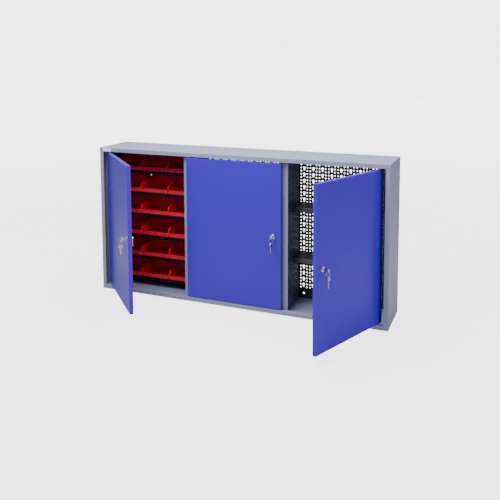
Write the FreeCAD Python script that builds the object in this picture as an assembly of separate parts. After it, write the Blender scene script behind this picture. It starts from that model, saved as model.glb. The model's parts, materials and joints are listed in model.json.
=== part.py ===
import FreeCAD, Part
import os
from math import radians, cos, sin, sqrt
from FreeCAD import Vector

# Wall cabinet of folded sheet steel with three lockable doors, a rack of open-fronted bins,
# perforated back plates and two shelves.  Millimetres.  The cabinet is drawn from its front
# lower left corner: x to the right, y into the depth, z up.  At the end everything is moved so
# that the origin is the centre of the wall-fixing holes, on the plane of the wall.

# ---- carcass ----
WIDTH = 1200.0
DEPTH = 200.0
HEIGHT = 600.0
SHEET = 1.0                 # sheet thickness of carcass, doors, shelves and plates
FOLD = 1.6                  # outside radius of a fold in the sheet
FRAME = 17.0                # width of the front flange round the opening
REAR_FLANGE = 30.0          # height of the top and bottom panels' rear flanges
RAIL_LIP = 16.0             # depth to which the rails' inner lips run
SIDE_TAB = 27.0             # flange of each side panel under the top and over the bottom panel
DIVIDERS = {"left_divider": 400.0, "right_divider": 800.0}
DIVIDER_FACE = 36.0         # width of a divider's front strip
DIVIDER_DEPTH = 19.5        # how far the divider's front strip sits behind the front
DIVIDER_FOOT = 12.0         # width of the feet by which a divider is fixed to the panels
FOOT_INSET = 10.0           # from a foot's ends to the divider's front strip and to the back plate
BACK_FRONT = DEPTH - 2 * SHEET   # front face of the back plates, against the rear flanges

# ---- wall fixing ----
FIXING_HOLE = 4.0           # radius
FIXING_SPAN = 450.0
FIXING_RISE = 556.0
FIXING_DRILL = 5.0          # how far the fixing holes are cut in from the wall

# ---- perforation ----
PITCH = 12.5
ROWS = 42
COLUMNS = 31
ROW_SHIFT = 3.0             # how far the rows' middle sits above the middle of the cabinet
HOLE = 2.75                 # radius of a plain hole
KEY_HEAD = 4.6              # radius of a keyhole's round head
KEY_SLOT = 2.9              # half the width of a keyhole's slot
KEY_DROP = 8.5              # from the middle of the head down to the middle of the slot's round foot
KEY_EVERY = 3               # every third column is a column of keyholes
EDGE_FLANGE = 16.0          # forward flange at a back plate's ends

# ---- doors ----
DOOR_THICK = 15.0
DOOR_BOTTOM = 19.0
DOOR_TOP = 579.0
DOOR_LIP = 12.0             # inner lip of the folded pan
PIVOT_DEPTH = 7.5           # pivot axis behind the door's face
PIN_R = 2.5
PIN_GAP = 0.05              # running clearance on the radius
PIN_REACH = 9.0             # how far a pin stands into the door
PIN_DRILL = 3.0             # how far the pins' holes are cut in from a face
PIN_HEAD_R = 4.5
PIN_HEAD = 2.0
WASHER_R = 5.5
# name, left edge, right edge, side of the hinge, pivot axis from the hinge edge (close to it on the
# middle door, to clear the divider), and how far the door stands open at rest in degrees
DOORS = (
    ("left", 19.0, 398.5, "left", 25.0, 45.0),
    ("middle", 402.5, 797.5, "left", 8.0, 0.0),
    ("right", 801.5, 1181.0, "right", 25.0, 68.0),
)

# ---- cam lock, key, ring and spare key ----
LOCK_IN = 32.5              # lock axis from the door's free edge
LOCK_Z = HEIGHT / 2
RIM_R = 9.5
RIM = 2.5                   # how far the rim stands in front of the door
RIM_CHAMFER = 0.8
BARREL_R = 8.0
BARREL_END = 20.5           # rear end of the barrel, behind the door's face
NUT_FLATS = 22.0
NUT = 4.0
PLUG_R = 5.5
CAM_FRONT = 21.5
CAM = 2.0                   # cam thickness
CAM_WIDTH = 14.0
CAM_REACH = 30.0            # from the lock axis to the cam's tip
CAM_TIP = 3.0               # length of the cam's narrow tip
CAM_STEP = 2.0              # how much narrower the tip is on each side
STUB = 6.0                  # square end of the plug that carries the cam
KEY = 1.8                   # thickness of a key
KEYWAY = 2.2
BLADE_WIDTH = 7.0
BLADE = 24.0
BLADE_POINT = 3.0           # chamfer of a blade's point
TOOTH = 3.0                 # pitch of the cuts along a blade
TOOTH_TOP = 0.4             # depth of the cuts' crests and roots below the blade's edge
TOOTH_ROOT = 1.6
BOW_R = 9.0
BOW_OUT = 16.0              # centre of the inserted key's bow in front of the door
BOW_HOLE = 2.5
BOW_HOLE_AT = 5.5           # hole from the centre of the bow
RING_R = 9.0                # centre line of the key ring
WIRE_R = 0.7
HANG_GAP = 0.3              # room between the ring and the edge of a key's hole

# ---- bin rack ----
RACK_SHELF_Z = 41.6         # top face of the lowest bin shelf
RACK_PITCH = 91.4
BIN_ROWS = 6
BIN_COLUMNS = 3
RACK_FRONT = 90.0           # front edge of the shelves, from the cabinet's front
RACK_LIP = 15.0
RACK_AHEAD = 20.0           # how far the rack's sides stand in front of its shelves
RACK_OFF = 6.0              # from the shelves' rear edge to the back plate
RACK_STOP = 6.0             # height of the shelves' rear upstand
RACK_IN = 3.0               # inner face of the rack's sides from the bay's wall
BIN_GAP = 1.6               # between neighbouring bins
BIN_DEPTH = 98.0
BIN_HEIGHT = 62.0
BIN_FRONT = 15.0            # height of the low front wall
BIN_CHEEK = ((12.0, 31.0), (44.0, 40.0))   # depth and height of points on the side walls' top edge
BIN_WALL = 2.0
BIN_LIP = 4.5               # thickness of the rolled edge of the front wall
BIN_ROUND = 5.0             # radius of the bin's upright corners

# ---- shelves of the right bay ----
SHELF_TOPS = {"upper_shelf": 398.0, "lower_shelf": 198.0}
SHELF_FRONT = 90.0
SHELF_BACK = 194.0
SHELF_LIP = 18.0
SHELF_HEM = 8.0             # width of the front lip's inward fold
SHELF_REAR = 10.0           # height of the rear lip
SHELF_GAP = 0.5             # play at each end of a shelf
SLOT_PITCH = 25.0
SLOT_ROWS = 21
SLOT_SHIFT = -3.6           # the middle slot's height from the middle of the cabinet
SLOT = 3.0                  # height of a slot
SLOT_COLUMNS = ((44.0, 80.0), (108.0, 140.0), (163.0, 175.0))
SIDE_HOLE_COLUMNS = (94.0, 152.0)
PLATE_FRONT = 27.0
PLATE_BACK = 181.0
PLATE_OFF = 9.0             # inner face of a side plate from the bay's wall
CLIP = 1.2
CLIP_WIDTH = 10.0
CLIP_REACH = 12.0           # how far a clip's tab stands into the bay
HOOK = 7.0                  # how far a clip's hook hangs below the shelf's deck

# ---- screws ----
SCREW_R = 2.0
SCREW_GAP = 0.1
SCREW_HEAD_R = 4.2
SCREW_HEAD = 2.2
SCREW_ROUND = 1.2           # radius of the head's outer edge
SCREW_LENGTH = 4.5
RECESS = (0.9, 4.2, 1.1)    # width, length and depth of each arm of a screw's cross recess
TOP_SCREW_DEPTHS = (32.0, 184.0)
TOP_SCREW_IN = 20.0
SIDE_SCREW_HEIGHTS = (78.0, 522.0)
SIDE_SCREW_DEPTH = 188.0

X, Y, Z = Vector(1, 0, 0), Vector(0, 1, 0), Vector(0, 0, 1)


def block(x0, x1, y0, y1, z0, z1):
    return Part.makeBox(x1 - x0, y1 - y0, z1 - z0, Vector(x0, y0, z0))


def rod(radius, start, end):
    way = end.sub(start)
    return Part.makeCylinder(radius, way.Length, start, way)


def joined(shapes):
    solid = shapes[0].fuse(shapes[1:]) if len(shapes) > 1 else shapes[0]
    return solid.removeSplitter()


def drilled(solid, holes):
    return solid.cut(holes) if holes else solid


def outside_of_fold(axis, low, high, u, v, inward_u, inward_v):
    """What a square corner along X or Z loses to a fold of radius FOLD.

    u, v is the corner in the two other axes, and the inward signs point into the sheet."""
    cu, cv = u + inward_u * FOLD, v + inward_v * FOLD
    u, v = u - inward_u, v - inward_v
    u0, u1, v0, v1 = min(u, cu), max(u, cu), min(v, cv), max(v, cv)
    if axis == X:
        return block(low, high, u0, u1, v0, v1).cut(rod(FOLD, Vector(low, cu, cv), Vector(high, cu, cv)))
    return block(u0, u1, v0, v1, low, high).cut(rod(FOLD, Vector(cu, cv, low), Vector(cu, cv, high)))


def mirrored(shape):
    return shape.mirror(Vector(WIDTH / 2, 0, 0), X)


def save(name, shapes):
    """Moves a node's solids to the wall-fixing origin and writes them as one STEP file."""
    solids = [s for shape in shapes for s in shape.Solids]
    whole = solids[0].copy() if len(solids) == 1 else Part.Compound(solids)
    whole.translate(Vector(-WIDTH / 2, -DEPTH, -HEIGHT / 2))
    if not whole.isValid():
        raise RuntimeError("invalid shape: " + name)
    whole.exportStep("parts/" + name + ".step")


# ---------------------------------------------------------------- carcass

def pivot_x(door):
    name, low, high, side, inset, angle = door
    return low + inset if side == "left" else high - inset


def fixing_points():
    middle = WIDTH / 2
    return [
        (middle + sx * FIXING_SPAN / 2, HEIGHT / 2 + sz * FIXING_RISE / 2)
        for sx in (-1, 1)
        for sz in (-1, 1)
    ]


def fixing_drills():
    inner, outer = DEPTH - FIXING_DRILL, DEPTH + 1
    return [rod(FIXING_HOLE, Vector(x, inner, z), Vector(x, outer, z)) for x, z in fixing_points()]


def screw_places():
    """Start of the head's seat and the direction in which each carcass screw points."""
    places = []
    for y in TOP_SCREW_DEPTHS:
        for x in (TOP_SCREW_IN, WIDTH - TOP_SCREW_IN):
            places.append((Vector(x, y, HEIGHT), Vector(0, 0, -1)))
            places.append((Vector(x, y, 0), Vector(0, 0, 1)))
    for z in SIDE_SCREW_HEIGHTS:
        places.append((Vector(0, SIDE_SCREW_DEPTH, z), Vector(1, 0, 0)))
        places.append((Vector(WIDTH, SIDE_SCREW_DEPTH, z), Vector(-1, 0, 0)))
    return places


def screw_drills():
    drills = []
    for seat, way in screw_places():
        drills.append(rod(SCREW_R + SCREW_GAP, seat.sub(way), seat.add(way * SCREW_LENGTH)))
    return drills


def rail_panel():
    """The top panel: web, front flange with its inner lip, and rear flange."""
    low, high = SHEET, WIDTH - SHEET
    web = block(low, high, 0, DEPTH, HEIGHT - SHEET, HEIGHT)
    front = block(low, high, 0, SHEET, HEIGHT - FRAME, HEIGHT)
    lip = block(low, high, 0, RAIL_LIP, HEIGHT - FRAME, HEIGHT - FRAME + SHEET)
    rear = block(low, high, DEPTH - SHEET, DEPTH, HEIGHT - REAR_FLANGE, HEIGHT)
    return joined([web, front, lip, rear]).cut([
        outside_of_fold(X, low, high, 0, HEIGHT, 1, -1),
        outside_of_fold(X, low, high, 0, HEIGHT - FRAME, 1, 1),
        outside_of_fold(X, low, high, DEPTH, HEIGHT, -1, -1),
    ])


def make_top_and_bottom():
    pins = [
        rod(PIN_R + PIN_GAP, Vector(pivot_x(d), PIVOT_DEPTH, HEIGHT - FRAME - 1),
            Vector(pivot_x(d), PIVOT_DEPTH, HEIGHT - FRAME + PIN_DRILL))
        for d in DOORS
    ]
    top = drilled(rail_panel(), pins)
    bottom = top.mirror(Vector(0, 0, HEIGHT / 2), Z)
    drills = screw_drills() + fixing_drills()
    save("top_panel", [drilled(top, drills)])
    save("bottom_panel", [drilled(bottom, drills)])


def make_sides():
    web = block(0, SHEET, 0, DEPTH, 0, HEIGHT)
    front = block(0, FRAME, 0, SHEET, FRAME, HEIGHT - FRAME)
    rear = block(0, FRAME, DEPTH - SHEET, DEPTH, REAR_FLANGE, HEIGHT - REAR_FLANGE)
    tabs = [
        block(0, SIDE_TAB, RAIL_LIP + SHEET, DEPTH - 2 * SHEET, z, z + SHEET)
        for z in (SHEET, HEIGHT - 2 * SHEET)
    ]
    side = joined([web, front, rear] + tabs).cut([
        outside_of_fold(Z, FRAME, HEIGHT - FRAME, 0, 0, 1, 1),
        outside_of_fold(Z, REAR_FLANGE, HEIGHT - REAR_FLANGE, 0, DEPTH, 1, -1),
    ])
    save("left_side_panel", [drilled(side, screw_drills())])
    save("right_side_panel", [drilled(mirrored(side), screw_drills())])


def make_dividers():
    """Each divider is a folded web with a foot at each end, and a front strip welded along it."""
    low, high = SHEET, HEIGHT - SHEET
    half = DIVIDER_FACE / 2
    behind = DIVIDER_DEPTH + SHEET
    for name, x in DIVIDERS.items():
        strip = block(x - half, x + half, DIVIDER_DEPTH, behind, low, high)
        web = block(x - SHEET / 2, x + SHEET / 2, behind, BACK_FRONT, low, high)
        feet = [
            block(x, x + DIVIDER_FOOT, behind + FOOT_INSET, BACK_FRONT - FOOT_INSET, z, z + SHEET)
            for z in (low, high - SHEET)
        ]
        save(name, [strip, joined([web] + feet)])


# ---------------------------------------------------------------- perforated plates

def circle_wire(x, y, z, radius, normal):
    return Part.Wire(Part.Circle(Vector(x, y, z), normal, radius).toShape())


def keyhole_wire(x, y, top):
    """Round head centred at height top, with a narrower round-ended slot below it."""
    drop = sqrt(KEY_HEAD ** 2 - KEY_SLOT ** 2)
    bottom = top - KEY_DROP
    right_neck = Vector(x + KEY_SLOT, y, top - drop)
    left_neck = Vector(x - KEY_SLOT, y, top - drop)
    right_foot = Vector(x + KEY_SLOT, y, bottom)
    left_foot = Vector(x - KEY_SLOT, y, bottom)
    return Part.Wire([
        Part.Arc(right_neck, Vector(x, y, top + KEY_HEAD), left_neck).toShape(),
        Part.LineSegment(left_neck, left_foot).toShape(),
        Part.Arc(left_foot, Vector(x, y, bottom - KEY_SLOT), right_foot).toShape(),
        Part.LineSegment(right_foot, right_neck).toShape(),
    ])


def lining_heights():
    """Lower and upper edge of the plates that line the bays."""
    edge = 3 * SHEET
    return edge, HEIGHT - edge


def perforated(corners, wires, way):
    outline = Part.makePolygon(corners + corners[:1])
    face = Part.Face([outline] + wires)
    face.validate()
    return face.extrude(way)


def back_plate(low, high, centre):
    """A flat plate from x low to x high, with its perforation centred on the middle of the bay."""
    wires = []
    first_z = HEIGHT / 2 + ROW_SHIFT - PITCH * (ROWS - 1) / 2
    for column in range(COLUMNS):
        x = centre + PITCH * (column - (COLUMNS - 1) / 2)
        if column % KEY_EVERY == 1:
            for row in range(1, ROWS, 2):
                wires.append(keyhole_wire(x, BACK_FRONT, first_z + PITCH * row))
        else:
            for row in range(ROWS):
                wires.append(circle_wire(x, BACK_FRONT, first_z + PITCH * row, HOLE, Y))
    for x, z in fixing_points():
        if low < x < high:
            wires.append(circle_wire(x, BACK_FRONT, z, FIXING_HOLE, Y))
    bottom, top = lining_heights()
    corners = [
        Vector(low, BACK_FRONT, bottom), Vector(high, BACK_FRONT, bottom),
        Vector(high, BACK_FRONT, top), Vector(low, BACK_FRONT, top),
    ]
    return perforated(corners, wires, Y * SHEET)


def end_angle(wall, inward):
    """Strip that stands forward at a back plate's outer end, for the side panel's screws."""
    far = wall + inward * SHEET
    return block(min(wall, far), max(wall, far), BACK_FRONT - EDGE_FLANGE, BACK_FRONT, *lining_heights())


def make_back_plates():
    left, right = SHEET, WIDTH - SHEET
    first, second = DIVIDERS["left_divider"], DIVIDERS["right_divider"]
    bay = WIDTH / 3
    drills = screw_drills()
    save("left_back_plate", [back_plate(left, first - SHEET, bay / 2), end_angle(left, 1).cut(drills)])
    save("middle_back_plate", [back_plate(first - SHEET / 2, second + SHEET / 2, 3 * bay / 2)])
    save("right_back_plate", [back_plate(second + SHEET, right, 5 * bay / 2), end_angle(right, -1).cut(drills)])


def slot_wire(x, y0, y1, z):
    r = SLOT / 2
    lower0, lower1 = Vector(x, y0 + r, z - r), Vector(x, y1 - r, z - r)
    upper0, upper1 = Vector(x, y0 + r, z + r), Vector(x, y1 - r, z + r)
    return Part.Wire([
        Part.LineSegment(lower0, lower1).toShape(),
        Part.Arc(lower1, Vector(x, y1, z), upper1).toShape(),
        Part.LineSegment(upper1, upper0).toShape(),
        Part.Arc(upper0, Vector(x, y0, z), lower0).toShape(),
    ])


def slot_heights():
    middle = HEIGHT / 2 + SLOT_SHIFT
    return [middle + SLOT_PITCH * (row - (SLOT_ROWS - 1) / 2) for row in range(SLOT_ROWS)]


def slotted_plate(x, inward):
    """One side lining of the right bay: inner face at x, with a flange towards the bay's wall."""
    wires = []
    for y0, y1 in SLOT_COLUMNS:
        wires += [slot_wire(x, y0, y1, z) for z in slot_heights()]
    for y in SIDE_HOLE_COLUMNS:
        for z in slot_heights():
            wires += [circle_wire(x, y, z + shift, HOLE, X) for shift in (-PITCH / 2, PITCH / 2)]
    low, high = lining_heights()
    corners = [
        Vector(x, PLATE_FRONT, low), Vector(x, PLATE_BACK, low),
        Vector(x, PLATE_BACK, high), Vector(x, PLATE_FRONT, high),
    ]
    plate = perforated(corners, wires, X * (-inward * SHEET))
    wall = x - inward * (PLATE_OFF - SHEET / 2)
    behind = x - inward * SHEET
    ends = [
        block(min(behind, wall), max(behind, wall), y, y + SHEET, low, high)
        for y in (PLATE_FRONT, PLATE_BACK - SHEET)
    ]
    return plate.fuse(ends)


def make_side_plates():
    wall = DIVIDERS["right_divider"]
    left = slotted_plate(wall + PLATE_OFF, 1)
    right = slotted_plate(WIDTH - SHEET / 2 - PLATE_OFF, -1)
    save("slotted_side_plates", [left, right])


# ---------------------------------------------------------------- shelves of the right bay

def right_bay():
    """Inner faces of the two slotted side plates."""
    return DIVIDERS["right_divider"] + PLATE_OFF, WIDTH - SHEET / 2 - PLATE_OFF


def make_shelves():
    low, high = right_bay()
    low, high = low + SHELF_GAP, high - SHELF_GAP
    for name, top in SHELF_TOPS.items():
        deck = block(low, high, SHELF_FRONT, SHELF_BACK, top - SHEET, top)
        front = block(low, high, SHELF_FRONT, SHELF_FRONT + SHEET, top - SHELF_LIP, top)
        hem = block(low, high, SHELF_FRONT, SHELF_FRONT + SHELF_HEM, top - SHELF_LIP, top - SHELF_LIP + SHEET)
        rear = block(low, high, SHELF_BACK - SHEET, SHELF_BACK, top - SHELF_REAR, top)
        folds = [
            outside_of_fold(X, low, high, SHELF_FRONT, top, 1, -1),
            outside_of_fold(X, low, high, SHELF_FRONT, top - SHELF_LIP, 1, 1),
            outside_of_fold(X, low, high, SHELF_BACK, top, -1, -1),
        ]
        save(name, [joined([deck, front, hem, rear]).cut(folds)])


def shelf_clip(x, inward, y, top):
    """A tab under the shelf with a tongue that hooks down behind the side plate."""
    under = top - SHEET
    hook_in = x - inward * (SHEET + 0.2)
    hook_out = hook_in - inward * CLIP
    far = x + inward * CLIP_REACH
    tab = block(min(hook_out, far), max(hook_out, far), y, y + CLIP_WIDTH, under - CLIP, under)
    hook = block(min(hook_out, hook_in), max(hook_out, hook_in), y, y + CLIP_WIDTH, under - HOOK, under - CLIP)
    return joined([tab, hook])


def make_shelf_clips():
    low, high = right_bay()
    clips = []
    for top in SHELF_TOPS.values():
        for y0, y1 in SLOT_COLUMNS[1:]:
            y = (y0 + y1 - CLIP_WIDTH) / 2
            clips.append(shelf_clip(low, 1, y, top))
            clips.append(shelf_clip(high, -1, y, top))
    save("shelf_clips", clips)


# ---------------------------------------------------------------- bin rack and bins

def rack_inside():
    """Inner faces of the bin rack's two sides."""
    return SHEET + RACK_IN, DIVIDERS["left_divider"] - SHEET / 2 - RACK_IN


def make_bin_rack():
    low, high = rack_inside()
    bottom, top = lining_heights()
    front, back = RACK_FRONT - RACK_AHEAD, BACK_FRONT - EDGE_FLANGE - 1
    sides = []
    for face, inward, wall in ((low, 1, SHEET), (high, -1, DIVIDERS["left_divider"] - SHEET / 2)):
        outer = face - inward * SHEET
        plate = block(min(face, outer), max(face, outer), front, back, bottom, top)
        foot = block(min(face, wall), max(face, wall), front, front + SHEET, bottom, top)
        sides.append(joined([plate, foot]))
    save("bin_rack_sides", sides)
    shelves = []
    shelf_back = BACK_FRONT - RACK_OFF
    for row in range(BIN_ROWS):
        z = RACK_SHELF_Z + RACK_PITCH * row
        deck = block(low, high, RACK_FRONT, shelf_back, z - SHEET, z)
        lip = block(low, high, RACK_FRONT, RACK_FRONT + SHEET, z - RACK_LIP, z)
        rear = block(low, high, shelf_back - SHEET, shelf_back, z - SHEET, z + RACK_STOP)
        ends = [
            block(x, x + SHEET, RACK_FRONT, back, z - RACK_LIP, z)
            for x in (low, high - SHEET)
        ]
        fold = outside_of_fold(X, low, high, RACK_FRONT, z, 1, -1)
        shelves.append(joined([deck, lip, rear] + ends).cut(fold))
    save("bin_shelves", shelves)


def bin_solid(width):
    """A bin with a low rolled front edge and sides that sweep up to the full height."""
    r = BIN_ROUND
    front, full = BIN_FRONT, BIN_HEIGHT
    start, end = Vector(0, BIN_LIP, front), Vector(0, BIN_DEPTH, full)
    cheek = Part.BSplineCurve()
    cheek.interpolate([start] + [Vector(0, y, z) for y, z in BIN_CHEEK] + [end])
    outline = Part.Wire([
        Part.makeLine(Vector(0, 0, 0), Vector(0, 0, front)),
        Part.makeLine(Vector(0, 0, front), start),
        cheek.toShape(),
        Part.makeLine(end, Vector(0, BIN_DEPTH, 0)),
        Part.makeLine(Vector(0, BIN_DEPTH, 0), Vector(0, 0, 0)),
    ])
    side = Part.Face(outline).extrude(X * width)
    plan = block(0, width, 0, BIN_DEPTH, 0, full)
    upright = [e for e in plan.Edges if abs(e.Vertexes[0].Z - e.Vertexes[1].Z) > 1]
    plan = plan.makeFillet(r, upright)
    w = BIN_WALL
    cavity = block(w, width - w, w, BIN_DEPTH - w, w, full + 20)
    inner = [e for e in cavity.Edges if abs(e.Vertexes[0].Z - e.Vertexes[1].Z) > 1]
    cavity = cavity.makeFillet(r - w, inner)
    shell = side.common(plan).cut(cavity)
    roll = rod(BIN_LIP / 2, Vector(r, BIN_LIP / 2, front - BIN_LIP / 2),
               Vector(width - r, BIN_LIP / 2, front - BIN_LIP / 2))
    return joined([shell, roll])


def make_bins():
    low, high = rack_inside()
    pitch = (high - low) / BIN_COLUMNS
    pattern = bin_solid(pitch - BIN_GAP)
    for row in range(BIN_ROWS):
        for column in range(BIN_COLUMNS):
            one = pattern.copy()
            one.translate(Vector(
                low + pitch * column + BIN_GAP / 2, RACK_FRONT, RACK_SHELF_Z + RACK_PITCH * row))
            save("bin_row%d_col%d" % (row + 1, column + 1), [one])


# ---------------------------------------------------------------- doors and their pivots

def opened(shape, door):
    """Turns a shape of the closed door to the angle at which the door stands at rest."""
    name, low, high, side, inset, angle = door
    turn = -angle if side == "left" else angle
    out = shape.copy()
    out.rotate(Vector(pivot_x(door), PIVOT_DEPTH, 0), Z, turn)
    return out


def lock_x(door):
    name, low, high, side, inset, angle = door
    return high - LOCK_IN if side == "left" else low + LOCK_IN


def door_leaf(door):
    name, low, high, side, inset, angle = door
    pan = block(low, high, 0, DOOR_THICK, DOOR_BOTTOM, DOOR_TOP)
    pan = pan.makeFillet(FOLD, [e for e in pan.Edges if abs(e.Vertexes[0].Y - e.Vertexes[1].Y) < 0.01])
    t, lip = SHEET, DOOR_LIP
    hollow = block(low + t, high - t, t, DOOR_THICK - t, DOOR_BOTTOM + t, DOOR_TOP - t)
    window = block(low + lip, high - lip, t, DOOR_THICK + 1, DOOR_BOTTOM + lip, DOOR_TOP - lip)
    at, depth = pivot_x(door), PIVOT_DEPTH
    drills = ((DOOR_BOTTOM - 1, DOOR_BOTTOM + PIN_DRILL), (DOOR_TOP - PIN_DRILL, DOOR_TOP + 1))
    holes = [rod(PIN_R + PIN_GAP, Vector(at, depth, z0), Vector(at, depth, z1)) for z0, z1 in drills]
    x = lock_x(door)
    holes.append(rod(BARREL_R, Vector(x, -1, LOCK_Z), Vector(x, 5, LOCK_Z)))
    return pan.cut([hollow, window] + holes)


def make_doors():
    for door in DOORS:
        save(door[0] + "_door", [opened(door_leaf(door), door)])


def make_pivots():
    pins, washers = [], []
    for door in DOORS:
        x, y = pivot_x(door), PIVOT_DEPTH
        lip_low, lip_high = FRAME, HEIGHT - FRAME
        lower = [
            rod(PIN_HEAD_R, Vector(x, y, lip_low - SHEET - PIN_HEAD), Vector(x, y, lip_low - SHEET)),
            rod(PIN_R, Vector(x, y, lip_low - SHEET - PIN_HEAD), Vector(x, y, DOOR_BOTTOM + PIN_REACH)),
        ]
        upper = [
            rod(PIN_HEAD_R, Vector(x, y, lip_high + SHEET), Vector(x, y, lip_high + SHEET + PIN_HEAD)),
            rod(PIN_R, Vector(x, y, DOOR_TOP - PIN_REACH), Vector(x, y, lip_high + SHEET + PIN_HEAD)),
        ]
        pins += [joined(lower), joined(upper)]
        washer = rod(WASHER_R, Vector(x, y, lip_low), Vector(x, y, DOOR_BOTTOM))
        bore = rod(PIN_R + PIN_GAP, Vector(x, y, lip_low - 1), Vector(x, y, DOOR_BOTTOM + 1))
        washers.append(washer.cut(bore))
    save("hinge_pins", pins)
    save("hinge_washers", washers)


# ---------------------------------------------------------------- locks and keys

def key_solid():
    """A key in the plane x = 0, its bow's centre at the origin and its blade along +y."""
    half = KEY / 2
    bow = rod(BOW_R, Vector(-half, 0, 0), Vector(half, 0, 0))
    hole = rod(BOW_HOLE, Vector(-2, -BOW_HOLE_AT, 0), Vector(2, -BOW_HOLE_AT, 0))
    b, end = BLADE_WIDTH / 2, BOW_R + BLADE
    root = BOW_R - 2
    outline = [Vector(-half, root, -b), Vector(-half, end - BLADE_POINT, -b),
               Vector(-half, end, -b + BLADE_POINT), Vector(-half, end, b - TOOTH_ROOT)]
    y = end - TOOTH_ROOT
    while y - TOOTH > BOW_R + TOOTH:
        outline.append(Vector(-half, y, b - TOOTH_TOP))
        outline.append(Vector(-half, y - TOOTH / 2, b - TOOTH_ROOT))
        y -= TOOTH
    outline.append(Vector(-half, y, b))
    outline.append(Vector(-half, root, b))
    blade = Part.Face(Part.makePolygon(outline + outline[:1])).extrude(X * KEY)
    return joined([bow.cut(hole), blade])


def nut_solid(x, z):
    across = NUT_FLATS / sqrt(3)
    corners = [Vector(x + across * cos(radians(60 * k)), SHEET, z + across * sin(radians(60 * k)))
               for k in range(6)]
    prism = Part.Face(Part.makePolygon(corners + corners[:1])).extrude(Y * NUT)
    return prism.cut(rod(BARREL_R, Vector(x, 0, z), Vector(x, SHEET + NUT + 1, z)))


def make_lock(door):
    x, z = lock_x(door), LOCK_Z
    prefix = door[0] + "_"

    def at(y):
        return Vector(x, y, z)

    rim = rod(RIM_R, at(-RIM), at(0))
    outer_edge = [e for e in rim.Edges if len(e.Vertexes) == 1 and abs(e.Vertexes[0].Y + RIM) < 0.01]
    rim = rim.makeChamfer(RIM_CHAMFER, outer_edge)
    barrel = rod(BARREL_R, at(0), at(BARREL_END))
    bore = rod(PLUG_R + PIN_GAP, at(-RIM - 1), at(BARREL_END + 1))
    save(prefix + "lock_housing", [opened(joined([rim, barrel]).cut(bore), door)])
    save(prefix + "lock_nut", [opened(nut_solid(x, z), door)])

    body = rod(PLUG_R, at(-RIM), at(CAM_FRONT))
    s = STUB / 2
    stub = block(x - s, x + s, CAM_FRONT, CAM_FRONT + CAM + 0.5, z - s, z + s)
    k, b = KEYWAY / 2, BLADE_WIDTH / 2 + 0.2
    keyway = block(x - k, x + k, -RIM - 1, BLADE - BOW_OUT + BOW_R + 1, z - b, z + b)
    save(prefix + "lock_plug", [opened(joined([body, stub]).cut(keyway), door)])

    half = CAM_WIDTH / 2
    hub = rod(half, at(CAM_FRONT), at(CAM_FRONT + CAM))
    tip_half, tip_top = half - CAM_STEP, z - CAM_REACH + CAM_TIP
    arm = block(x - half, x + half, CAM_FRONT, CAM_FRONT + CAM, tip_top, z)
    tip = block(x - tip_half, x + tip_half, CAM_FRONT, CAM_FRONT + CAM, z - CAM_REACH, tip_top)
    seat = block(x - s, x + s, CAM_FRONT - 1, CAM_FRONT + CAM + 1, z - s, z + s)
    save(prefix + "lock_cam", [opened(joined([hub, arm, tip]).cut(seat), door)])

    key = key_solid()
    key.translate(at(-BOW_OUT))
    save(prefix + "key", [opened(key, door)])

    hole_y = -BOW_OUT - BOW_HOLE_AT
    wire_z = z - BOW_HOLE + WIRE_R + HANG_GAP
    ring_z = wire_z - RING_R
    ring = Part.makeTorus(RING_R, WIRE_R, Vector(x, hole_y, ring_z), Y)
    save(prefix + "key_ring", [opened(ring, door)])

    spare = key_solid()
    spare.rotate(Vector(0, 0, 0), X, -90)
    spare_hole_z = ring_z - RING_R - (BOW_HOLE - WIRE_R - HANG_GAP)
    spare.translate(Vector(x, hole_y, spare_hole_z - BOW_HOLE_AT))
    save(prefix + "spare_key", [opened(spare, door)])


# ---------------------------------------------------------------- screws

def cross_recess(seat, way):
    """Two crossed slots cut into the head from outside."""
    width, length, depth = (v / 2 for v in RECESS)
    middle = seat.sub(way * (SCREW_HEAD - depth))
    arms = []
    for half_x, half_y in ((width, length), (length, width)):
        arm = Part.makeBox(2 * half_x, 2 * half_y, 2 * depth, Vector(-half_x, -half_y, -depth))
        if abs(way.x) > 0.5:
            arm.rotate(Vector(0, 0, 0), Y, 90)
        arm.translate(middle)
        arms.append(arm)
    return arms


def make_screws():
    screws = []
    for seat, way in screw_places():
        head = rod(SCREW_HEAD_R, seat.sub(way * SCREW_HEAD), seat)
        far = [e for e in head.Edges if len(e.Vertexes) == 1
               and e.Vertexes[0].Point.sub(seat).dot(way) < -SCREW_HEAD + 0.01]
        head = head.makeFillet(SCREW_ROUND, far)
        shank = rod(SCREW_R, seat, seat.add(way * SCREW_LENGTH))
        screws.append(joined([head, shank]).cut(cross_recess(seat, way)))
    save("carcass_screws", screws)


os.makedirs("parts", exist_ok=True)
make_top_and_bottom()
make_sides()
make_dividers()
make_back_plates()
make_side_plates()
make_shelves()
make_shelf_clips()
make_bin_rack()
make_bins()
make_doors()
make_pivots()
for one_door in DOORS:
    make_lock(one_door)
make_screws()
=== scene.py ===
import json
from math import cos, pi, radians, sin

import bmesh
import bpy
from mathutils import Matrix, Vector


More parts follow.
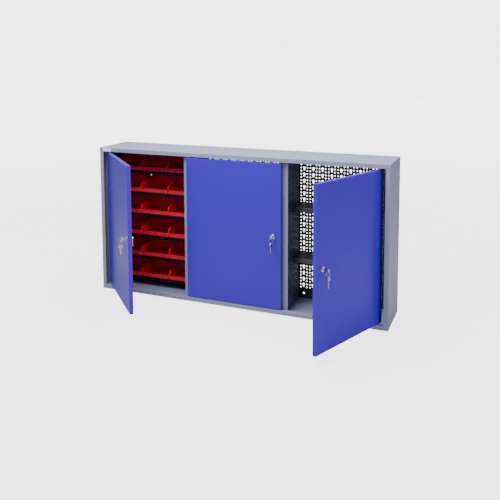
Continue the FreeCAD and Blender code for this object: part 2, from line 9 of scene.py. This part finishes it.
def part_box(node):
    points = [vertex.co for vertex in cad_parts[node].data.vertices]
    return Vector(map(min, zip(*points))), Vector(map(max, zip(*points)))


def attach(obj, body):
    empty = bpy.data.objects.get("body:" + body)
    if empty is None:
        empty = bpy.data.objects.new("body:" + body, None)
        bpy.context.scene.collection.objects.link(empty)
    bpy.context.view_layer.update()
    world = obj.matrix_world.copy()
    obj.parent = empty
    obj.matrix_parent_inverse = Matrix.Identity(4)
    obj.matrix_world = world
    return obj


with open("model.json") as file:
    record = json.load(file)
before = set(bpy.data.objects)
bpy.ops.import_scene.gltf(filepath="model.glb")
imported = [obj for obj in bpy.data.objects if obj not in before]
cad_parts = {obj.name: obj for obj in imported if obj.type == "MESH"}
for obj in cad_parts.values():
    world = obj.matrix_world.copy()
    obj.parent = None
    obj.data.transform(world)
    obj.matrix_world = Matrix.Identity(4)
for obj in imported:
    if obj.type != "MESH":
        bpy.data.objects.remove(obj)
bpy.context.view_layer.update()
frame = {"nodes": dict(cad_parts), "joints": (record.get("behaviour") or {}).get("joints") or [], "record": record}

MM = 0.001
LOCKS = ("left_lock", "middle_lock", "right_lock")

# ---- black sheet pieces given a darker copy of the black paint as painted shade, or a lighter, bluer copy as painted sheen ----
SHADE_AND_SHEEN_BLACKS = {
    "bin_rack_sides": "painted_shade_black",
    "bin_shelves": "painted_shade_black",
    "slotted_side_plates": "painted_sheen_black",
}

# ---- camera: place in metres, angles in degrees ----
CAMERA_AT = Vector((0.999, -2.462, 0.680))
CAMERA_YAW = -22.24
CAMERA_PITCH = 5.67
CAMERA_ROLL = 0.20
CAMERA_LENS = 47.27
CAMERA_SHIFT_UP = -0.26

# ---- light: strengths of the sky and floor, and watts of the lamps ----
SKY_LIGHT = 0.52
SKY_SEEN = 4.0
FLOOR_GLOW = 2.9
DAYLIGHT = (0.93, 0.96, 1.0)
WHITE = (1.0, 1.0, 1.0)
COOL_WHITE = (0.93, 0.95, 1.0)
# name, place, point aimed at, size, watts, colour
LAMPS = (
    ("key", (-0.3, -1.1, 1.55), (0, -0.1, 0), (1.2, 0.8), 34.0, WHITE),
    ("top", (0.1, -0.1, 1.8), (0, -0.1, 0.3), (1.6, 0.5), 44.0, WHITE),
    ("side", (2.9, -1.3, 0.7), (0.2, -0.1, 0), (1.4, 1.6), 30.0, COOL_WHITE),
)

# ---- floor: metres ----
FLOOR_HALF = 12.0           # half the width of the square floor
FLOOR_BELOW = 5.0 * MM      # gap under the cabinet
FADE_START = 0.8            # the floor fades into the backdrop between these distances
FADE_END = 5.0

# ---- sockets of a Mix node that mixes colours ----
MIX_A, MIX_B, MIX_RESULT = 6, 7, 2

# ---- powder paint ----
EDGE_HIGHLIGHT_WIDTH = 1.2 * MM       # how far the painted highlight reaches from a fold or cut edge
PEEL_HEIGHT = 0.05 * MM     # orange peel
GLOSS_SPREAD = 0.03         # roughness above and below its middle value

# ---- blank sticker at the left end of the top rail ----
LABEL_WIDTH = 39.0 * MM
LABEL_HEIGHT = 12.0 * MM
LABEL_THICK = 0.25 * MM
LABEL_CORNER = 1.5 * MM
LABEL_FROM_LEFT = 15.0 * MM
LABEL_FROM_TOP = 14.0 * MM  # the sticker's lower edge below the cabinet's top
CORNER_STEPS = 4

# ---- cam screw, behind each lock's plug ----
STUB_END = 24.0 * MM        # rear end of the plug's square stub, behind the door's face
WASHER_R = 5.0 * MM
WASHER = 0.7 * MM
SCREW_R = 3.4 * MM
SCREW_HEAD = 2.0 * MM
SLOT_WIDTH = 0.9 * MM
SLOT_DEPTH = 0.9 * MM
ROUND_STEPS = 48


# ---------------------------------------------------------------- node helpers

def new_material(name):
    """A node material with only a Principled shader, and that shader."""
    material = bpy.data.materials.new(name)
    material.use_nodes = True
    nodes = material.node_tree.nodes
    nodes.clear()
    output = nodes.new("ShaderNodeOutputMaterial")
    shader = nodes.new("ShaderNodeBsdfPrincipled")
    material.node_tree.links.new(shader.outputs["BSDF"], output.inputs["Surface"])
    return material, shader


def add(material, kind, **inputs):
    """A node with its plain inputs set; input names use _ for a space."""
    node = material.node_tree.nodes.new(kind)
    for key, value in inputs.items():
        node.inputs[key.replace("_", " ")].default_value = value
    return node


def link(material, source, target):
    material.node_tree.links.new(source, target)


def place(material):
    """Where a point lies on the object: metres, in the shared frame at rest."""
    return add(material, "ShaderNodeTexCoord").outputs["Object"]


def noise(material, scale, detail=2.0, roughness=0.5, squeeze=None):
    """Noise in object space, in features per metre, with squeeze times as many along each axis."""
    node = add(material, "ShaderNodeTexNoise", Scale=scale, Detail=detail, Roughness=roughness)
    where = place(material)
    if squeeze:
        mapping = add(material, "ShaderNodeMapping", Scale=squeeze)
        link(material, where, mapping.inputs["Vector"])
        where = mapping.outputs["Vector"]
    link(material, where, node.inputs["Vector"])
    return node.outputs["Fac"]


def ramp(material, factor, low, high, start=0.3, end=0.7):
    """Colour or grey that runs from low to high as the factor goes from start to end."""
    node = add(material, "ShaderNodeValToRGB")
    for element, colour, at in zip(node.color_ramp.elements, (low, high), (start, end)):
        element.position = at
        rgb = colour if hasattr(colour, "__len__") else (colour, colour, colour)
        element.color = (*rgb, 1.0)
    link(material, factor, node.inputs["Fac"])
    return node.outputs["Color"]


def mix(material, factor, a, b):
    """Colour a where the factor is 0, colour b where it is 1."""
    node = material.node_tree.nodes.new("ShaderNodeMix")
    node.data_type = "RGBA"
    link(material, factor, node.inputs["Factor"])
    link(material, a, node.inputs[MIX_A])
    link(material, b, node.inputs[MIX_B])
    return node.outputs[MIX_RESULT]


def bump(material, shader, heights, strength):
    """Chains (height output, distance in metres) pairs into the shader's normal."""
    before = None
    for height, distance in heights:
        node = add(material, "ShaderNodeBump", Strength=strength, Distance=distance)
        link(material, height, node.inputs["Height"])
        if before:
            link(material, before, node.inputs["Normal"])
        before = node.outputs["Normal"]
    link(material, before, shader.inputs["Normal"])


def shade(colour, factor):
    """The colour made lighter or darker, up to 1 a channel."""
    return tuple(min(1.0, c * factor) for c in colour)


def edges(material, radius, start, end):
    """0 on open faces, rising to 1 at folds and cut edges closer than the radius."""
    rounded = material.node_tree.nodes.new("ShaderNodeBevel")
    rounded.samples = 4
    rounded.inputs["Radius"].default_value = radius
    flat = material.node_tree.nodes.new("ShaderNodeNewGeometry")
    compare = material.node_tree.nodes.new("ShaderNodeVectorMath")
    compare.operation = "DOT_PRODUCT"
    link(material, rounded.outputs["Normal"], compare.inputs[0])
    link(material, flat.outputs["Normal"], compare.inputs[1])
    return ramp(material, compare.outputs["Value"], 1.0, 0.0, start, end)


# ---------------------------------------------------------------- materials

def powder_coat(name, colour, roughness, specular=0.5, spread=0.05, edge_highlight=1.5):
    """Baked powder paint on sheet steel, with fine orange peel, faint clouding and paler edges that are a painted
    highlight along folds and cut edges.

    spread is how far the tone strays from the colour, and the edge factor how much paler the edges are painted, as
    a highlight.
    """
    material, shader = new_material(name)
    cloud = noise(material, 5.0, 3.0)
    grain = noise(material, 900.0, 1.0)
    tone = ramp(material, cloud, shade(colour, 1 - spread), shade(colour, 1 + spread))
    speck = ramp(material, grain, shade(colour, 1 - spread), shade(colour, 1 + spread), 0.35, 0.65)
    paint_tone = mix(material, cloud, tone, speck)
    # painted highlight: folds and cut edges are made paler, as if they caught the light
    edge_highlight_tone = ramp(material, noise(material, 70.0, 4.0, 0.6), shade(colour, 1.0), shade(colour, edge_highlight))
    highlighted_paint = mix(material, edges(material, EDGE_HIGHLIGHT_WIDTH, 0.80, 0.99), paint_tone, edge_highlight_tone)
    link(material, highlighted_paint, shader.inputs["Base Color"])
    gloss = ramp(material, grain, roughness - GLOSS_SPREAD, roughness + GLOSS_SPREAD)
    link(material, gloss, shader.inputs["Roughness"])
    bump(material, shader, [(noise(material, 420.0, 2.0), PEEL_HEIGHT)], 0.5)
    shader.inputs["Specular IOR Level"].default_value = specular
    return material


def moulded_plastic(name, colour, roughness):
    """Injection-moulded polypropylene: faint flow marks, fine spark texture, slightly waxy."""
    material, shader = new_material(name)
    flow = noise(material, 14.0, 3.0, 0.6, (1.0, 1.0, 3.0))
    tone = ramp(material, flow, shade(colour, 0.88), shade(colour, 1.12))
    dust = ramp(material, noise(material, 400.0, 3.0), shade(colour, 0.9), shade(colour, 1.1), 0.35, 0.65)
    link(material, mix(material, flow, tone, dust), shader.inputs["Base Color"])
    wear = noise(material, 60.0, 4.0, 0.6)
    link(material, ramp(material, wear, roughness - 0.05, roughness + 0.1), shader.inputs["Roughness"])
    bump(material, shader, [(noise(material, 1500.0, 1.0), 0.00003), (flow, 0.0002)], 0.5)
    shader.inputs["Specular IOR Level"].default_value = 0.5
    shader.inputs["Subsurface Weight"].default_value = 0.06
    shader.inputs["Subsurface Radius"].default_value = (0.004, 0.001, 0.0005)
    return material


def bare_metal(name, colour, roughness, brushed=(1.0, 1.0, 1.0), scale=300.0, spangle=0.0):
    """Plated metal with a cloudy tone, and fine lines across the axis that brushed squeezes."""
    material, shader = new_material(name)
    lines = noise(material, scale, 3.0, 0.6, brushed)
    cloud = noise(material, 120.0, 2.0)
    tone = ramp(material, cloud, shade(colour, 0.85 - spangle), shade(colour, 1.08))
    fine = ramp(material, lines, shade(colour, 0.9), shade(colour, 1.05))
    link(material, mix(material, lines, tone, fine), shader.inputs["Base Color"])
    link(material, ramp(material, lines, roughness * 0.7, roughness * 1.4), shader.inputs["Roughness"])
    bump(material, shader, [(lines, 0.00002)], 0.4)
    shader.inputs["Metallic"].default_value = 1.0
    return material


def label_paper(name):
    """White sticker paper with fine fibres."""
    material, shader = new_material(name)
    fibres = noise(material, 1200.0, 3.0)
    tone = ramp(material, fibres, (0.93, 0.94, 0.96), (0.99, 0.99, 0.99))
    link(material, tone, shader.inputs["Base Color"])
    link(material, ramp(material, fibres, 0.4, 0.55), shader.inputs["Roughness"])
    bump(material, shader, [(fibres, 0.00001)], 0.4)
    return material


def floor_material():
    """Pale studio floor whose glow, seen by the camera only, fades into the backdrop."""
    material, shader = new_material("studio_floor")
    tone = ramp(material, noise(material, 2.0, 2.0), (0.44, 0.44, 0.45), (0.48, 0.48, 0.48))
    link(material, tone, shader.inputs["Base Color"])
    shader.inputs["Roughness"].default_value = 0.9
    glow = add(material, "ShaderNodeEmission", Color=(1, 1, 1, 1))
    away = add(material, "ShaderNodeVectorMath")
    away.operation = "LENGTH"
    link(material, place(material), away.inputs[0])
    fade = add(material, "ShaderNodeMapRange")
    fade.inputs["From Min"].default_value = FADE_START
    fade.inputs["From Max"].default_value = FADE_END
    fade.inputs["To Min"].default_value = FLOOR_GLOW
    fade.inputs["To Max"].default_value = SKY_SEEN
    link(material, away.outputs["Value"], fade.inputs["Value"])
    link(material, fade.outputs["Result"], glow.inputs["Strength"])
    both = add(material, "ShaderNodeAddShader")
    seen = add(material, "ShaderNodeLightPath")
    choose = add(material, "ShaderNodeMixShader")
    output = material.node_tree.get_output_node("CYCLES")
    link(material, shader.outputs["BSDF"], both.inputs[0])
    link(material, glow.outputs["Emission"], both.inputs[1])
    link(material, seen.outputs["Is Camera Ray"], choose.inputs["Fac"])
    link(material, shader.outputs["BSDF"], choose.inputs[1])
    link(material, both.outputs["Shader"], choose.inputs[2])
    link(material, choose.outputs["Shader"], output.inputs["Surface"])
    return material


def make_materials():
    return {
        # the last number of each powder coat is how much paler its edges are painted, as a highlight
        "carcass_grey": powder_coat("grey_powder_coat", (0.278, 0.298, 0.425), 0.40, 0.5, 0.05, 1.25),
        "door_blue": powder_coat("ultramarine_powder_coat", (0.055, 0.016, 0.52), 0.27, 0.35, 0.04, 1.15),
        "black_steel": powder_coat("black_powder_coat", (0.018, 0.019, 0.034), 0.33, 0.8, 0.15, 2.5),
        # darker, rougher copy of the black paint: painted shade on the bin rack's sides and shelves
        "painted_shade_black": powder_coat("painted_shade_black_powder_coat", (0.004, 0.004, 0.007), 0.55, 0.25, 0.15, 1.5),
        # lighter, bluer copy of the black paint: painted sheen on the slotted side plates
        "painted_sheen_black": powder_coat("painted_sheen_black_powder_coat", (0.075, 0.085, 0.150), 0.33, 0.8, 0.12, 1.8),
        "bin_red": moulded_plastic("red_polypropylene", (0.78, 0.016, 0.028), 0.28),
        "zinc": bare_metal("zinc_plate", (0.62, 0.63, 0.66), 0.35, (1, 1, 1), 220.0, 0.1),
        "chrome": bare_metal("chrome_plate", (0.62, 0.62, 0.66), 0.12, (1, 6, 1), 500.0),
        "nickel": bare_metal("nickel_plate", (0.52, 0.51, 0.50), 0.18, (1, 1, 12), 600.0),
        "label": label_paper("blank_label_paper"),
    }


# ---------------------------------------------------------------- pieces

def paint(piece, material):
    """Gives a piece one material in place of those it had."""
    piece.data.materials.clear()
    piece.data.materials.append(material)


def dress_cad(materials):
    """Paints every CAD node by its material slot, apart from the black pieces that get a darker copy of the black
    paint as painted shade or a lighter one as painted sheen.
    """
    slots = {row["node"]: row["material_slot"] for row in frame["record"]["subparts"]}
    for name, piece in frame["nodes"].items():
        paint(piece, materials[SHADE_AND_SHEEN_BLACKS.get(name, slots[name])])


def mesh_piece(name, bm, material, body):
    """Turns a finished bmesh into a piece that rides on a body."""
    mesh = bpy.data.meshes.new(name)
    bm.to_mesh(mesh)
    bm.free()
    piece = bpy.data.objects.new(name, mesh)
    bpy.context.scene.collection.objects.link(piece)
    mesh.materials.append(material)
    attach(piece, body)
    return piece


def make_label(materials):
    """A blank sticker with rounded corners on the front of the top rail, near its left end."""
    low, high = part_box("top_panel")
    left = low.x + LABEL_FROM_LEFT + LABEL_CORNER
    right = low.x + LABEL_FROM_LEFT + LABEL_WIDTH - LABEL_CORNER
    lower = high.z - LABEL_FROM_TOP + LABEL_CORNER
    upper = high.z - LABEL_FROM_TOP + LABEL_HEIGHT - LABEL_CORNER
    bm = bmesh.new()
    ring = []
    for x, z, start in ((right, upper, 0), (left, upper, 90), (left, lower, 180), (right, lower, 270)):
        for step in range(CORNER_STEPS + 1):
            a = radians(start + 90 * step / CORNER_STEPS)
            ring.append(bm.verts.new((x + LABEL_CORNER * cos(a), low.y, z + LABEL_CORNER * sin(a))))
    face = bm.faces.new(ring)
    pushed = bmesh.ops.extrude_face_region(bm, geom=[face])
    moved = [v for v in pushed["geom"] if isinstance(v, bmesh.types.BMVert)]
    bmesh.ops.translate(bm, verts=moved, vec=(0, -LABEL_THICK, 0))
    bmesh.ops.recalc_face_normals(bm, faces=bm.faces)
    mesh_piece("blank_label", bm, materials["label"], "cabinet")


def disc(bm, radius, low, high, chamfer, turn):
    """A round disc from height low to high with a chamfered upper rim, placed by the matrix turn.

    Its top is left open, and the top rim's points are returned.
    """
    angles = [2 * pi * k / ROUND_STEPS for k in range(ROUND_STEPS)]
    levels = ((radius, low), (radius, high - chamfer), (radius - chamfer, high))
    rings = []
    for r, z in levels:
        rings.append([bm.verts.new(turn @ Vector((r * cos(a), r * sin(a), z))) for a in angles])
    for lower, upper in zip(rings, rings[1:]):
        for k in range(ROUND_STEPS):
            after = (k + 1) % ROUND_STEPS
            bm.faces.new((lower[k], lower[after], upper[after], upper[k]))
    bm.faces.new(rings[0])
    return rings[-1]


def slotted_top(bm, rim, radius, high, turn):
    """Closes a disc's top with a straight screwdriver slot across it."""
    half = SLOT_WIDTH / 2
    steps = len(rim)
    reach = (radius ** 2 - half ** 2) ** 0.5
    deep = high - SLOT_DEPTH
    corners = {}
    for sx in (-1, 1):
        for sy in (-1, 1):
            for z in (high, deep):
                corners[sx, sy, z] = bm.verts.new(turn @ Vector((sx * reach, sy * half, z)))
    bm.faces.new([corners[c] for c in ((-1, -1, deep), (1, -1, deep), (1, 1, deep), (-1, 1, deep))])
    for sy in (-1, 1):
        arc = [rim[sy * k % steps] for k in range(1, steps // 2)]
        bm.faces.new([corners[1, sy, high]] + arc + [corners[-1, sy, high]])
        bm.faces.new([corners[c] for c in ((-1, sy, high), (1, sy, high), (1, sy, deep), (-1, sy, deep))])
    for sx, middle in ((1, 0), (-1, steps // 2)):
        beside = [rim[(middle + turned) % steps] for turned in (-sx, sx)]
        top = [corners[sx, sy, high] for sy in (-1, 1)]
        low = [corners[sx, sy, deep] for sy in (1, -1)]
        bm.faces.new([top[0], beside[0], rim[middle], beside[1], top[1]] + low)


def make_cam_screws(materials):
    """The slotted screw and washer that hold each lock's cam on the plug's square end."""
    turns = {joint["child"]: joint for joint in frame["joints"]}
    for lock in LOCKS:
        joint = turns[lock]
        inward = -Vector(joint["axis"]).normalized()
        seat = Vector(joint["pos_m"]) + inward * STUB_END
        turn = Matrix.Translation(seat) @ Vector((0, 0, 1)).rotation_difference(inward).to_matrix().to_4x4()
        bm = bmesh.new()
        top = disc(bm, WASHER_R, 0, WASHER, WASHER / 4, turn)
        bm.faces.new(top)
        rim = disc(bm, SCREW_R, WASHER, WASHER + SCREW_HEAD, SCREW_HEAD / 6, turn)
        slotted_top(bm, rim, SCREW_R - SCREW_HEAD / 6, WASHER + SCREW_HEAD, turn)
        bmesh.ops.recalc_face_normals(bm, faces=bm.faces)
        mesh_piece(lock + "_cam_screw", bm, materials["zinc"], lock)


# ---------------------------------------------------------------- camera, light, floor

def make_camera():
    """Yaw turns the view from +Y towards +X, pitch tips it down, and roll turns the picture."""
    yaw, pitch, roll = radians(CAMERA_YAW), radians(CAMERA_PITCH), radians(CAMERA_ROLL)
    ahead = Vector((sin(yaw) * cos(pitch), cos(yaw) * cos(pitch), -sin(pitch)))
    right = Vector((cos(yaw), -sin(yaw), 0))
    down = ahead.cross(right)
    rolled_right = cos(roll) * right + sin(roll) * down
    rolled_down = cos(roll) * down - sin(roll) * right
    data = bpy.data.cameras.new("camera")
    data.lens = CAMERA_LENS
    data.sensor_width = 36.0
    data.shift_y = CAMERA_SHIFT_UP
    data.clip_start, data.clip_end = 0.05, 60.0
    camera = bpy.data.objects.new("camera", data)
    bpy.context.scene.collection.objects.link(camera)
    axes = Matrix((rolled_right, -rolled_down, -ahead)).transposed()
    camera.matrix_world = Matrix.Translation(CAMERA_AT) @ axes.to_4x4()
    bpy.context.scene.camera = camera


def area_light(name, at, aim, size, power, colour):
    data = bpy.data.lights.new(name, "AREA")
    data.shape = "RECTANGLE"
    data.size, data.size_y = size
    data.energy = power
    data.color = colour
    light = bpy.data.objects.new(name, data)
    bpy.context.scene.collection.objects.link(light)
    light.location = at
    light.rotation_mode = "QUATERNION"
    light.rotation_quaternion = (Vector(aim) - Vector(at)).to_track_quat("-Z", "Y")


def make_light():
    """A soft sky that the camera sees as a bright backdrop, and the studio's lamps."""
    world = bpy.data.worlds.new("studio")
    bpy.context.scene.world = world
    world.use_nodes = True
    nodes, links = world.node_tree.nodes, world.node_tree.links
    nodes.clear()
    output = nodes.new("ShaderNodeOutputWorld")
    lit = nodes.new("ShaderNodeBackground")
    lit.inputs["Color"].default_value = (*DAYLIGHT, 1)
    lit.inputs["Strength"].default_value = SKY_LIGHT
    seen = nodes.new("ShaderNodeBackground")
    seen.inputs["Color"].default_value = (*WHITE, 1)
    seen.inputs["Strength"].default_value = SKY_SEEN
    ray = nodes.new("ShaderNodeLightPath")
    choose = nodes.new("ShaderNodeMixShader")
    links.new(ray.outputs["Is Camera Ray"], choose.inputs["Fac"])
    links.new(lit.outputs["Background"], choose.inputs[1])
    links.new(seen.outputs["Background"], choose.inputs[2])
    links.new(choose.outputs["Shader"], output.inputs["Surface"])
    for lamp in LAMPS:
        area_light(*lamp)


def make_floor():
    """A square floor just under the cabinet."""
    bm = bmesh.new()
    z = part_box("bottom_panel")[0].z - FLOOR_BELOW
    corners = [(x * FLOOR_HALF, y * FLOOR_HALF, z) for x, y in ((-1, -1), (1, -1), (1, 1), (-1, 1))]
    bm.faces.new([bm.verts.new(corner) for corner in corners])
    mesh = bpy.data.meshes.new("floor")
    bm.to_mesh(mesh)
    bm.free()
    floor = bpy.data.objects.new("floor", mesh)
    bpy.context.scene.collection.objects.link(floor)
    mesh.materials.append(floor_material())


MATERIALS = make_materials()
make_camera()
make_light()
make_floor()
dress_cad(MATERIALS)
make_label(MATERIALS)
make_cam_screws(MATERIALS)
